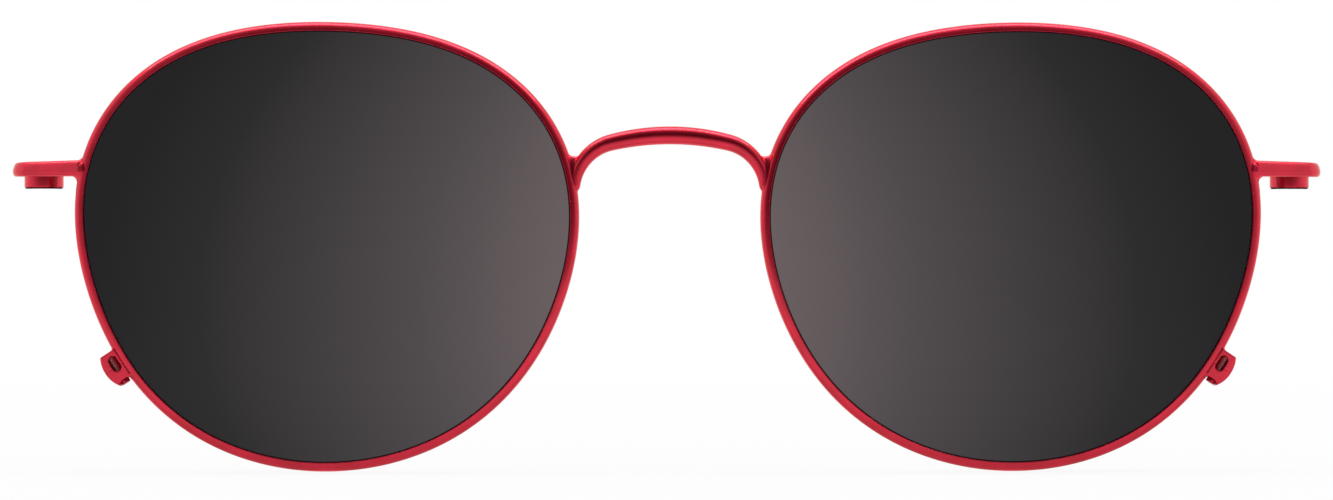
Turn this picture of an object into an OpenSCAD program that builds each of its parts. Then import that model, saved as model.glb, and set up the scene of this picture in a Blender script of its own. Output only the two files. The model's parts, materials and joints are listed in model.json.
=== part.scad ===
// Magnetic clip-on spectacle front. Two grooved wire rings hold dark lenses, a round wire
// bridge joins them, and two short arms end in paddles with magnets underneath, which hold
// the clip to the end pieces of a host frame.
// Millimetres. X runs to the viewer's right, Y away from the viewer and Z up, so the front
// faces -Y. Each sub-part is drawn on the right, and the left one is its mirror image.

/* [Lenses] */
// Width of the lens opening, seen from the front
lens_w = 48.6; // [44:0.1:53]
// Height of the lens opening
lens_h = 43; // [38:0.1:48]
// Gap between the two lens openings at the nose
nose_gap = 19.8; // [17:0.1:24]
// How far the outline is fuller above its middle than below, as a share of its radius
outline_brow = 0.04; // [0:0.001:0.06]
// How far the shoulders stand out and the cheeks draw in, as a share of its radius
outline_shoulder = 0.0315; // [0:0.0005:0.045]
// How far the outline leans from an oval towards a soft square, as a share of its radius
outline_square = 0.0145; // [0:0.0005:0.03]
// How far the outline tips up towards the temple, as a share of its radius
outline_tilt = 0.0035; // [0:0.0005:0.01]
// How far the temple side is flatter than the nose side, as a share of its radius
outline_flat = 0.0035; // [0:0.0005:0.01]
// Radius of the sphere that lenses and rings follow
base_radius = 132; // [90:1:400]
// Angle by which each lens turns back towards the temple
wrap_angle = 4; // [0:0.5:8]
// Thickness of a lens
lens_t = 1.1; // [1:0.05:1.5]
// Chamfer along the edges of a lens
lens_chamfer = 0.1; // [0.05:0.01:0.12]
// Gap between a lens and its ring
lens_fit = 0.04; // [0.02:0.01:0.08]

/* [Eyewires] */
// Width of the ring wire, seen from the front
rim_w = 0.9; // [0.7:0.05:1.2]
// Depth of the ring wire from front to back
rim_d = 1.7; // [1.4:0.05:2.2]
// Radius of the outer edges of the ring wire
rim_edge_r = 0.5; // [0.1:0.02:0.6]
// Radius of the inner edges of the ring wire
rim_inner_r = 0.12; // [0.1:0.02:0.3]
// Depth of the groove that holds the lens
groove_d = 0.38; // [0.2:0.02:0.45]
// Width of the groove at its mouth
groove_w = 0.7; // [0.5:0.05:0.75]
// Wall kept between the groove and whatever is brazed to the ring
braze_wall = 0.12; // [0.08:0.01:0.2]
// Gap where the ring is cut open at its closing block
split_gap = 0.1; // [0.05:0.01:0.3]

/* [Bridge] */
// Diameter of the bridge wire at the crest
bridge_d = 1.8; // [1.2:0.02:2.4]
// Diameter of the bridge wire at its feet
bridge_foot_d = 1.22; // [1:0.02:1.6]
// Height of the feet above the middle of the lenses
bridge_foot_z = 6; // [2:0.05:9]
// Rise of the wire's axis from its feet to the crest
bridge_rise = 4.95; // [4.8:0.05:6.5]
// Radius of the two bends above the feet
bridge_bend_r = 4.8; // [3.5:0.1:5.2]
// Slope of the wire at its feet
bridge_foot_slope = 85; // [75:1:90]
// How far the crest stands forward of the feet
bridge_bow = 1; // [0:0.1:3]
// How deep the axis of a foot is let into the outer side of the ring
bridge_seat = 0.25; // [0.1:0.05:0.4]
// Length over which the wire runs out to nothing below each foot
bridge_tip_l = 0.7; // [0.3:0.05:1.5]

/* [Arms] */
// Height of the arms above the middle of the lenses
arm_z = 7.85; // [3:0.05:11]
// Thickness of an arm
arm_t = 1.6; // [1:0.05:2]
// Width of an arm where it meets the ring, seen from above
arm_root_w = 1.7; // [1.2:0.05:2.4]
// Radius of an arm's two corners at the ring, seen from above
arm_corner_r = 0.5; // [0.5:0.02:0.6]
// Radius of the round paddle at the end of an arm
paddle_r = 3.15; // [2.6:0.05:4]
// Rounding of the upper and lower edges of an arm
arm_edge_r = 0.45; // [0.1:0.05:0.48]
// Distance of a paddle's centre outward from the widest point of the ring
paddle_reach = 3.6; // [2.5:0.05:6]
// Distance of a paddle's centre behind the ring at the arm
paddle_setback = 5.2; // [2:0.1:8]

/* [Magnets] */
// Diameter of a magnet cup
cup_d = 3.95; // [3.2:0.05:4.2]
// Height of a magnet cup below its paddle
cup_h = 1.2; // [0.9:0.05:2]
// Wall of a magnet cup
cup_wall = 0.36; // [0.2:0.02:0.5]
// Thickness of the floor of a magnet cup
cup_floor = 0.3; // [0.2:0.05:0.5]
// Chamfer around the mouth of a magnet cup
cup_chamfer = 0.12; // [0.05:0.01:0.18]
// Gap between a magnet and the wall of its cup
magnet_fit = 0.03; // [0.01:0.01:0.06]

/* [Closing blocks] */
// Direction of the closing block from the middle of the lens, below the temple side
block_angle = -32; // [-60:0.5:-15]
// Length of the upper half of the block from the cut
block_upper_l = 1.6; // [1.3:0.05:2.5]
// Length of the lower half of the block from the cut
block_lower_l = 1.88; // [1.3:0.02:2.5]
// Height of the block's crown above the outer side of the ring
block_h = 1.86; // [1.7:0.02:2.4]
// Radius of the crown along the block
block_crown_r = 3.06; // [2.8:0.02:6]
// Depth of the block from front to back
block_d = 2; // [1.7:0.05:2.4]
// Radius of the block's long outer edges
block_edge_r = 0.5; // [0.2:0.05:0.6]
// How deep the block is let into the outer side of the ring
block_seat = 0.25; // [0.1:0.05:0.3]
// Length of the window in the front of the block
window_l = 1.7; // [1:0.05:2]
// Width of the window in the front of the block
window_w = 0.9; // [0.5:0.05:1]
// Depth of the window, which lays the screw open
window_d = 0.75; // [0.65:0.05:0.85]
// Distance of the window's middle above the cut
window_rise = 0.3; // [0:0.05:0.4]
// Distance of the window's middle from the outer side of the ring
window_offset = 0.47; // [0.4:0.01:0.6]

/* [Rim screws] */
// Diameter of the screw's shank
screw_d = 0.8; // [0.6:0.05:0.9]
// Distance of the screw's axis from the outer side of the ring
screw_offset = 0.58; // [0.56:0.01:0.65]
// Diameter of the screw's head
screw_head_d = 1; // [0.9:0.01:1.04]
// Height of the screw's head
screw_head_h = 0.4; // [0.3:0.05:0.6]
// Distance of the shoulder that the head rests on below the cut
screw_seat_l = 1.48; // [1.2:0.02:1.6]
// How far the tip stops short of the upper end of the block
screw_tip_gap = 0.2; // [0.05:0.05:0.5]
// Width of the slot in the screw's head
screw_slot_w = 0.2; // [0.1:0.02:0.3]
// Depth of the slot in the screw's head
screw_slot_d = 0.16; // [0.1:0.02:0.24]
// Gap between the screw and the block
screw_fit = 0.02; // [0.015:0.005:0.03]

/* [Hidden] */

$fn = 96;
LACQUER = "#c8202f";
LENS_GREY = "#37363a";
NICKEL = "#b9bbc0";
// Steps along the outline of a lens, and along the arch and each bend of the bridge
OUTLINE_STEPS = 90;
ARCH_STEPS = 12;
BEND_STEPS = 11;
BRIDGE_SIDES = 14;
// Rings of facets from the middle of a lens to its edge
LENS_RINGS = 3;
// Steps round the rounded edges of the ring wire and of the arms, and sides of an arm's ends
RIM_EDGE_STEPS = 2;
ARM_EDGE_STEPS = 4;
PADDLE_SIDES = 48;
ROOT_SIDES = 24;
// Halvings that find a station to well under a thousandth of a millimetre
HALVINGS = 30;
// A cut runs this far past the face that it opens
CUT = 0.5;
// Half a degree to each side gives the direction of the outline
STEP = 0.5;
// A cut through the whole clip from front to back is as long as a lens is wide
through = lens_w;

lens_x = (nose_gap + lens_w) / 2;

// Outline of the lens opening. It starts at the temple side and runs up over the brow.
function raw_outline(t) =
    let (
        rise = outline_brow * sin(t) + outline_tilt * sin(2 * t) + outline_shoulder * sin(3 * t),
        r = 1 + rise - outline_flat * cos(3 * t) - outline_square * cos(4 * t)
    )
    [r * cos(t), r * sin(t)];
RAW_X = [for (t = [0:359]) raw_outline(t)[0]];
RAW_Z = [for (t = [0:359]) raw_outline(t)[1]];
raw_size = [max(RAW_X) - min(RAW_X), max(RAW_Z) - min(RAW_Z)];
raw_middle = [max(RAW_X) + min(RAW_X), max(RAW_Z) + min(RAW_Z)] / 2;
function opening(t) =
    let (p = raw_outline(t) - raw_middle)
    [lens_x + p[0] * lens_w / raw_size[0], p[1] * lens_h / raw_size[1]];
function along(t) = opening(t + STEP) - opening(t - STEP);
function outward(t) = let (d = along(t) / norm(along(t))) [d[1], -d[0]];
// Point at a distance outside the opening, and that point carried onto the curved front
function beside(t, away) = opening(t) + outward(t) * away;
function sag(p) =
    let (x = p[0] - lens_x)
    x * tan(wrap_angle) + (x * x + p[1] * p[1]) / (2 * base_radius);
function on_front(p, behind) = [p[0], sag(p) + behind, p[1]];
// Station on the outline at a height, found by halving the stretch between two stations
function station(z, low, high, left = HALVINGS) =
    let (mid = (low + high) / 2)
    left == 0 ? mid
    : opening(mid)[1] < z ? station(z, mid, high, left - 1)
    : station(z, low, mid, left - 1);
function temple_station(z) = station(z, -90, 90);
function nose_station(z) = station(z, 270, 90);

// Stations of the ring from one side of its cut to the other
split_half = split_gap / 2 / norm(along(block_angle));
STATIONS = [
    for (i = [0:OUTLINE_STEPS])
    block_angle + split_half + i * (360 - 2 * split_half) / OUTLINE_STEPS
];

// The bridge's axis is an arch between two bends, all arcs that run smoothly into each other
bridge_foot = beside(nose_station(bridge_foot_z), rim_w - bridge_seat);
bridge_crest_z = bridge_foot[1] + bridge_rise;
bend_run = bridge_foot[0] - bridge_bend_r * sin(bridge_foot_slope);
bend_drop = bridge_rise - bridge_bend_r * (1 - cos(bridge_foot_slope));
bend_start = 2 * atan2(bend_drop, bend_run);
arch_extra = bend_run / sin(bend_start);
arch_r = arch_extra + bridge_bend_r;
bridge_length = arch_r * bend_start + bridge_bend_r * (bridge_foot_slope - bend_start);
function bridge_axis(slope) =
    let (s = abs(slope))
    s <= bend_start
    ? [sign(slope) * arch_r * sin(s), bridge_crest_z - arch_r * (1 - cos(s))]
    : [
        sign(slope) * (bend_run + bridge_bend_r * sin(s)),
        bridge_crest_z - arch_r + arch_extra * cos(bend_start) + bridge_bend_r * cos(s)
    ];
function bridge_share(slope) =
    let (s = abs(slope))
    (s <= bend_start ? arch_r * s : arch_r * bend_start + bridge_bend_r * (s - bend_start))
    / bridge_length;
function bridge_y(x) = sag(bridge_foot) - bridge_bow * (1 - pow(x / bridge_foot[0], 2));
// Ring round the wire. Past a foot the axis runs straight on, and the wire has shrunk until
// it is flush with the outer side of the eyewire.
function bridge_ring(slope, past = 0) =
    let (
        p = bridge_axis(slope) + past * [cos(slope), -sin(slope)],
        thinning = (bridge_foot_d - bridge_d) * pow(bridge_share(slope), 2),
        r = past == 0 ? (bridge_d + thinning) / 2 : bridge_seat
    )
    [
        for (i = [0:BRIDGE_SIDES - 1])
        let (a = 360 * i / BRIDGE_SIDES)
        [p[0] + r * cos(a) * sin(slope), bridge_y(p[0]) + r * sin(a), p[1] + r * cos(a) * cos(slope)]
    ];
BRIDGE_SLOPES = [
    for (i = [0:BEND_STEPS - 1]) -bridge_foot_slope + i * (bridge_foot_slope - bend_start) / BEND_STEPS,
    for (i = [0:ARCH_STEPS]) -bend_start + 2 * i * bend_start / ARCH_STEPS,
    for (i = [1:BEND_STEPS]) bend_start + i * (bridge_foot_slope - bend_start) / BEND_STEPS
];

// An arm starts inside the outer wall of the ring, clear of the groove
wall_clear = groove_d + braze_wall;
arm_root = on_front(beside(temple_station(arm_z), wall_clear + arm_corner_r), 0);
paddle_x = lens_x + lens_w / 2 + rim_w + paddle_reach;
paddle_y = arm_root[1] + paddle_setback;
paddle_under = arm_z - arm_t / 2;
cup_bore_r = cup_d / 2 - cup_wall;

// Local frame of a closing block: X down along the ring, Y outward, Z to the front
block_at = on_front(beside(block_angle, rim_w), 0);
block_below = on_front(beside(block_angle - STEP, rim_w), 0);
block_above = on_front(beside(block_angle + STEP, rim_w), 0);
block_down = (block_below - block_above) / norm(block_below - block_above);
block_level = [outward(block_angle)[0], 0, outward(block_angle)[1]];
block_slant = block_level - (block_level * block_down) * block_down;
block_out = block_slant / norm(block_slant);
block_front = cross(block_down, block_out);
screw_r = screw_d / 2;
screw_head_r = screw_head_d / 2;
head_from = screw_seat_l + screw_fit;

// The middle of the whole clip from front to back goes to Y = 0. A lens stands furthest
// forward where its curve faces straight ahead, or else at its nose side.
forward_x = min(base_radius * tan(wrap_angle), lens_w / 2);
lens_front = sag([lens_x - forward_x, 0]) - lens_t / 2;
rim_front = sag([lens_x - lens_w / 2, 0]) - rim_d / 2;
bridge_front = bridge_y(0) - bridge_d / 2;
middle_y = (min(lens_front, rim_front, bridge_front) + paddle_y + paddle_r) / 2;

module place_right() {
    translate([0, -middle_y, 0]) children();
}

module place_left() {
    mirror([1, 0, 0]) place_right() children();
}

// Solid through a row of rings that all have as many points. Each end is a flat fan from
// the ring's first point, which sees the whole ring.
module swept(rings) {
    n = len(rings[0]);
    last = len(rings) - 1;
    points = [for (ring = rings) each ring];
    sides = [
        for (i = [0:last - 1], j = [0:n - 1])
        let (a = i * n + j, b = i * n + (j + 1) % n)
        each [[a, b + n, a + n], [a, b, b + n]]
    ];
    start_cap = [for (j = [1:n - 2]) [0, j + 1, j]];
    end_cap = [for (j = [1:n - 2]) [last * n, last * n + j, last * n + j + 1]];
    polyhedron(points, concat(start_cap, end_cap, sides));
}

// Section of the ring wire: distance outside the opening, then distance behind the middle
function rim_section() =
    let (
        h = rim_d / 2,
        turns = [for (i = [0:RIM_EDGE_STEPS]) 90 * i / RIM_EDGE_STEPS],
        back = concat(
            [[0, groove_w / 2]],
            [for (a = turns) [rim_inner_r * (1 - cos(a)), h - rim_inner_r * (1 - sin(a))]],
            [for (a = turns) [rim_w - rim_edge_r * (1 - sin(a)), h - rim_edge_r * (1 - cos(a))]]
        )
    )
    concat(
        [[groove_d, 0]],
        back,
        [for (i = [len(back) - 1:-1:0]) [back[i][0], -back[i][1]]]
    );

module eyewire() {
    color(LACQUER)
    swept([
        for (t = STATIONS)
        [for (q = rim_section()) on_front(beside(t, q[0]), q[1])]
    ]);
}

// Rows of a lens from the front face round the bevelled edge to the back face. Each holds
// the share of the way from the middle, the distance outside the opening and the depth.
function lens_rows() =
    let (h = lens_t / 2, face = -lens_fit - lens_chamfer)
    [
        for (i = [1:LENS_RINGS]) [i / LENS_RINGS, face, -h],
        [1, -lens_fit, lens_chamfer - h], [1, -lens_fit, -groove_w / 2],
        [1, groove_d - lens_fit, 0],
        [1, -lens_fit, groove_w / 2], [1, -lens_fit, h - lens_chamfer],
        for (i = [LENS_RINGS:-1:1]) [i / LENS_RINGS, face, h]
    ];

module lens() {
    centre = [lens_x, 0];
    rows = lens_rows();
    n = len(STATIONS);
    last = len(rows) - 1;
    rings = [
        for (row = rows, t = STATIONS)
        on_front(centre + (beside(t, row[1]) - centre) * row[0], row[2])
    ];
    poles = [on_front(centre, -lens_t / 2), on_front(centre, lens_t / 2)];
    front_pole = len(rings);
    back_pole = front_pole + 1;
    skin = [
        for (i = [0:last - 1], j = [0:n - 1])
        let (a = i * n + j, b = i * n + (j + 1) % n)
        each [[a, b, b + n], [a, b + n, a + n]]
    ];
    front_fan = [for (j = [0:n - 1]) [front_pole, (j + 1) % n, j]];
    back_fan = [for (j = [0:n - 1]) [back_pole, last * n + j, last * n + (j + 1) % n]];
    color(LENS_GREY)
    polyhedron(concat(rings, poles), concat(skin, front_fan, back_fan));
}

// Everything inside the ring's outer wall, which no brazed part may enter
module inside_wall() {
    rotate([90, 0, 0])
    linear_extrude(height = through, center = true)
    polygon([for (t = STATIONS) beside(t, wall_clear)]);
}

module bridge_wire() {
    color(LACQUER)
    difference() {
        swept([
            bridge_ring(-bridge_foot_slope, -bridge_tip_l),
            for (slope = BRIDGE_SLOPES) bridge_ring(slope),
            bridge_ring(bridge_foot_slope, bridge_tip_l)
        ]);
        inside_wall();
        mirror([1, 0, 0]) inside_wall();
    }
}

// Disc as thick as an arm, with rounded edges
module soft_disc(r, sides) {
    e = arm_edge_r;
    h = arm_t / 2;
    upper = [
        for (i = [0:ARM_EDGE_STEPS])
        let (a = 90 * i / ARM_EDGE_STEPS)
        [r - e + e * cos(a), h - e + e * sin(a)]
    ];
    lower = [for (i = [ARM_EDGE_STEPS:-1:0]) [upper[i][0], -upper[i][1]]];
    rotate_extrude($fn = sides)
    polygon(concat([[0, -h]], lower, upper, [[0, h]]));
}

module arm() {
    color(LACQUER)
    hull() {
        translate([paddle_x, paddle_y, arm_z]) soft_disc(paddle_r, PADDLE_SIDES);
        for (side = [-1, 1])
        translate([arm_root[0], arm_root[1] + side * (arm_root_w / 2 - arm_corner_r), arm_z])
        soft_disc(arm_corner_r, ROOT_SIDES);
    }
}

module magnet_cup() {
    outer = cup_d / 2;
    color(LACQUER)
    translate([paddle_x, paddle_y, paddle_under])
    rotate_extrude()
    polygon([
        [0, 0], [outer, 0], [outer, cup_chamfer - cup_h], [outer - cup_chamfer, -cup_h],
        [cup_bore_r, -cup_h], [cup_bore_r, -cup_floor], [0, -cup_floor]
    ]);
}

module magnet() {
    color(NICKEL)
    translate([paddle_x, paddle_y, paddle_under - cup_h])
    cylinder(h = cup_h - cup_floor, r = cup_bore_r - magnet_fit);
}

module at_block() {
    x = block_down;
    y = block_out;
    z = block_front;
    multmatrix([
        [x[0], y[0], z[0], block_at[0]],
        [x[1], y[1], z[1], block_at[1]],
        [x[2], y[2], z[2], block_at[2]],
        [0, 0, 0, 1]
    ])
    children();
}

// A rod along the block, from one distance below the cut to another
module rod(r, from, to) {
    translate([from, screw_offset, 0]) rotate([0, 90, 0]) cylinder(h = to - from, r = r);
}

// Round bar with a crown, between two distances below the cut
module block_bar(from, to) {
    l = to - from;
    e = block_edge_r;
    flank_h = block_seat + block_h - e;
    intersection() {
        union() {
            translate([from, -block_seat, -block_d / 2]) cube([l, flank_h, block_d]);
            translate([from, -block_seat, e - block_d / 2])
            cube([l, block_seat + block_h, block_d - 2 * e]);
            for (side = [-1, 1])
            translate([from, block_h - e, side * (block_d / 2 - e)])
            rotate([0, 90, 0])
            cylinder(h = l, r = e);
        }
        translate([0, block_h - block_crown_r, 0])
        cylinder(h = 2 * block_d, r = block_crown_r, center = true);
    }
}

// Round-ended window in the front face of the block
module window() {
    run = (window_l - window_w) / 2;
    translate([-window_rise, window_offset, block_d / 2 - window_d])
    union() {
        for (side = [-1, 1])
        translate([side * run, 0, 0])
        cylinder(h = window_d + CUT, d = window_w);
        translate([-run, -window_w / 2, 0]) cube([2 * run, window_w, window_d + CUT]);
    }
}

module block_upper() {
    color(LACQUER)
    at_block()
    difference() {
        block_bar(-block_upper_l, -split_gap / 2);
        rod(screw_r + screw_fit, -block_upper_l - CUT, CUT);
        window();
    }
}

// The lower half is stepped back for the screw's head, down to a lip on its outer side
module block_lower() {
    color(LACQUER)
    at_block()
    difference() {
        block_bar(split_gap / 2, block_lower_l);
        rod(screw_r + screw_fit, -CUT, block_lower_l + CUT);
        translate([screw_seat_l, -block_seat - CUT, -block_d / 2 - CUT])
        cube([
            block_lower_l - screw_seat_l + CUT,
            block_seat + CUT + screw_offset + screw_head_r + screw_fit,
            block_d + 2 * CUT
        ]);
        window();
    }
}

module rim_screw() {
    slot_from = head_from + screw_head_h - screw_slot_d;
    color(NICKEL)
    at_block()
    difference() {
        union() {
            rod(screw_r, screw_tip_gap - block_upper_l, head_from + screw_head_h / 2);
            rod(screw_head_r, head_from, head_from + screw_head_h);
        }
        translate([slot_from, screw_offset - screw_head_d, -screw_slot_w / 2])
        cube([screw_slot_d + CUT, 2 * screw_head_d, screw_slot_w]);
    }
}

module left_eyewire() { place_left() eyewire(); }
module right_eyewire() { place_right() eyewire(); }
module bridge() { place_right() bridge_wire(); }
module left_arm() { place_left() arm(); }
module right_arm() { place_right() arm(); }
module left_magnet_cup() { place_left() magnet_cup(); }
module right_magnet_cup() { place_right() magnet_cup(); }
module left_magnet() { place_left() magnet(); }
module right_magnet() { place_right() magnet(); }
module left_lens() { place_left() lens(); }
module right_lens() { place_right() lens(); }
module left_block_upper() { place_left() block_upper(); }
module left_block_lower() { place_left() block_lower(); }
module right_block_upper() { place_right() block_upper(); }
module right_block_lower() { place_right() block_lower(); }
module left_rim_screw() { place_left() rim_screw(); }
module right_rim_screw() { place_right() rim_screw(); }

left_eyewire();
right_eyewire();
bridge();
left_arm();
right_arm();
left_magnet_cup();
right_magnet_cup();
left_magnet();
right_magnet();
left_lens();
right_lens();
left_block_upper();
left_block_lower();
right_block_upper();
right_block_lower();
left_rim_screw();
right_rim_screw();
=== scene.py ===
"""Looks of a magnetic clip-on spectacle front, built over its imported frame.

Two grooved wire rings hold dark sun lenses, a wire bridge joins them, and two short arms end in
paddles with magnets underneath. Shapes are drawn in millimetres, in the frame's own axes, and
turned to metres when a piece is finished. Each side piece is drawn on the right, and the left one
is its mirror image.
"""

import json
import logging
import math
from collections.abc import Iterable, Sequence
from dataclasses import dataclass
from enum import Enum
from functools import cached_property

import bmesh
import bpy
from bmesh.types import BMEdge, BMesh, BMVert
from bpy.types import ID, Material, Mesh, Node, NodeSocket, NodeTree, Object
from mathutils import Matrix, Vector


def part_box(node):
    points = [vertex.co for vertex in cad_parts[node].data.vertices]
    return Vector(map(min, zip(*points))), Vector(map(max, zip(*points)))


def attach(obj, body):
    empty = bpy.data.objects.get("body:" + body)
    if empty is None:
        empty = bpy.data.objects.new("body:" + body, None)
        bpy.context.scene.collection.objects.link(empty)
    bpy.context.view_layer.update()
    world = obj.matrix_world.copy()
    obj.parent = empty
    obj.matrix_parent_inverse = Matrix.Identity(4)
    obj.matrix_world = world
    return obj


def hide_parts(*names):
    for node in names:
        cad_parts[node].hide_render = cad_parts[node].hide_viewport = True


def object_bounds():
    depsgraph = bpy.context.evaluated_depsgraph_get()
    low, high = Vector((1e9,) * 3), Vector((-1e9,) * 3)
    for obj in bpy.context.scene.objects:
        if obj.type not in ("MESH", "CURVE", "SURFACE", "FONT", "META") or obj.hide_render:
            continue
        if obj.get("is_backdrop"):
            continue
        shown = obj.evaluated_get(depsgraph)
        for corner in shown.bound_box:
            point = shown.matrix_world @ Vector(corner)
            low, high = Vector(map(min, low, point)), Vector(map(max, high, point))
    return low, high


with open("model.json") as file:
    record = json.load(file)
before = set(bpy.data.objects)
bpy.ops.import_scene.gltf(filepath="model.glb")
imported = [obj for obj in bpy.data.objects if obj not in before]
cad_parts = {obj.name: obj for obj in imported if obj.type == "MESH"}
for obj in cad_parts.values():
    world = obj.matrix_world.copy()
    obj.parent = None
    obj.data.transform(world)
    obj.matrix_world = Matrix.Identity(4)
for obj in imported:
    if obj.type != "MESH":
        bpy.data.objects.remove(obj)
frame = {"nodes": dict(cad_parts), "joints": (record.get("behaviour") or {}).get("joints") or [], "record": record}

log = logging.getLogger("clip_on")

Colour = tuple[float, float, float, float]
MM = 0.001
IMAGE_WIDTH, IMAGE_HEIGHT = 1333, 500
CLIP = "clip_front"
WHITE = (1.0, 1.0, 1.0, 1.0)
# Distances in millimetres at which two corners are one, and a corner lies on a plane.
WELD, ON_PLANE = 1e-4, 1e-5
# Gap in millimetres between the clip and the table top.
TABLE_GAP = 0.05


class Side(Enum):
    """Side of the clip, as seen from the front. The value is the sign of X."""

    LEFT = -1
    RIGHT = 1

    @property
    def label(self) -> str:
        """Name of the side as the frame's nodes and bodies spell it."""
        return self.name.lower()


class Flank(Enum):
    """Flank of the right lens opening. The value is its lowest and its highest station."""

    TEMPLE = (-90, 90)
    NOSE = (270, 90)


class Slot(Enum):
    """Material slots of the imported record."""

    FRAME = "lacquered_frame"
    LENS = "lens"
    MAGNET = "magnet"
    SCREW = "screw"


def linear(hex_colour: str) -> Colour:
    """Turns an sRGB hex colour to linear light.

    Args:
        hex_colour: six hex digits, such as "c8202f".

    Returns:
        Red, green, blue and an alpha of 1.
    """
    parts = [int(hex_colour[i:i + 2], 16) / 255 for i in (0, 2, 4)]
    red, green, blue = (c / 12.92 if c <= 0.04045 else ((c + 0.055) / 1.055) ** 2.4 for c in parts)
    return red, green, blue, 1.0


def per_metre(size_mm: float) -> float:
    """Scale of a texture whose features have a given size.

    Args:
        size_mm: size of a feature in millimetres.

    Returns:
        Number of features along a metre.
    """
    return 1 / (size_mm * MM)


def add_node(
    tree: NodeTree, kind: str, sockets: dict[str | int, object] | None = None, **settings: object
) -> Node:
    """Adds a node, sets its own settings, and sets or links its inputs.

    Args:
        tree: tree that the node goes into.
        kind: type of the node.
        sockets: value, or another node's output, for each input by name or index.
        settings: the node's own settings by name.

    Returns:
        The new node.
    """
    node = tree.nodes.new(kind)
    for name, value in settings.items():
        setattr(node, name, value)
    for key, value in (sockets or {}).items():
        if isinstance(value, NodeSocket):
            tree.links.new(value, node.inputs[key])
        else:
            node.inputs[key].default_value = value
    return node


def fill_ramp(node: Node, stops: Sequence[tuple[float, Colour]]) -> None:
    """Sets the stops of a new colour ramp.

    Args:
        node: the ramp's node.
        stops: position and linear colour of each stop, in order.
    """
    elements = node.color_ramp.elements
    for element, (position, colour) in zip(elements, (stops[0], stops[-1])):
        element.position, element.color = position, colour
    for position, colour in stops[1:-1]:
        elements.new(position).color = colour


def new_material(name: str) -> tuple[Material, NodeTree, NodeSocket]:
    """Makes a material that has no shader yet.

    Args:
        name: name of the material.

    Returns:
        The material, its tree, and the socket of the point in the object's own coordinates.
    """
    material = bpy.data.materials.new(name)
    material.use_nodes = True
    tree = material.node_tree
    tree.nodes.clear()
    return material, tree, add_node(tree, "ShaderNodeTexCoord").outputs["Object"]


@dataclass(frozen=True)
class RedLacquer:
    """Transparent red baking lacquer over polished nickel silver.

    The metal shines through the colour, so the red is deep where the room is dark and bright
    where it is pale, and the clear skin adds white gloss at grazing angles. The flakes are drawn
    about three times as coarse as real ones so that they show, and the orange peel has its real
    size.
    """

    name: str = "red_lacquer_over_nickel_silver"
    deep: str = "cc0a2c"
    full: str = "e00e38"
    edge: str = "ffb8a4"
    pool_mm: float = 2.5
    pool_range: tuple[float, float] = (0.3, 0.7)
    peel_mm: float = 0.55
    peel_height_mm: float = 0.02
    peel_strength: float = 0.12
    flake_mm: float = 0.06
    flake_reach: float = 0.9
    flake_spread: tuple[float, float] = (0.75, 1.35)
    metallic: float = 0.97
    roughness: float = 0.26
    coat: float = 0.75
    coat_roughness: float = 0.03
    coat_ior: float = 1.52

    def material(self) -> Material:
        """Builds the lacquer.

        Returns:
            The material.
        """
        made, tree, where = new_material(self.name)
        pool = add_node(tree, "ShaderNodeTexNoise", {
            "Vector": where, "Scale": per_metre(self.pool_mm), "Detail": 2.0, "Roughness": 0.5,
        })
        depth = add_node(tree, "ShaderNodeValToRGB", {"Fac": pool.outputs["Fac"]})
        fill_ramp(depth, list(zip(self.pool_range, (linear(self.deep), linear(self.full)))))
        flake = add_node(tree, "ShaderNodeTexVoronoi", {
            "Vector": where, "Scale": per_metre(self.flake_mm),
        })
        smoother, rougher = self.flake_spread
        gloss = add_node(tree, "ShaderNodeMapRange", {
            "Value": flake.outputs["Distance"], "From Max": self.flake_reach,
            "To Min": self.roughness * smoother, "To Max": self.roughness * rougher,
        })
        peel = add_node(tree, "ShaderNodeTexNoise", {
            "Vector": where, "Scale": per_metre(self.peel_mm), "Detail": 1.0,
        })
        bump = add_node(tree, "ShaderNodeBump", {
            "Height": peel.outputs["Fac"], "Strength": self.peel_strength,
            "Distance": self.peel_height_mm * MM,
        })
        shader = add_node(tree, "ShaderNodeBsdfPrincipled", {
            "Base Color": depth.outputs["Color"], "Metallic": self.metallic,
            "Roughness": gloss.outputs["Result"], "Normal": bump.outputs["Normal"],
            "Specular Tint": linear(self.edge), "Coat Weight": self.coat,
            "Coat Roughness": self.coat_roughness, "Coat IOR": self.coat_ior,
        })
        add_node(tree, "ShaderNodeOutputMaterial", {"Surface": shader.outputs["BSDF"]})
        return made


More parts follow.
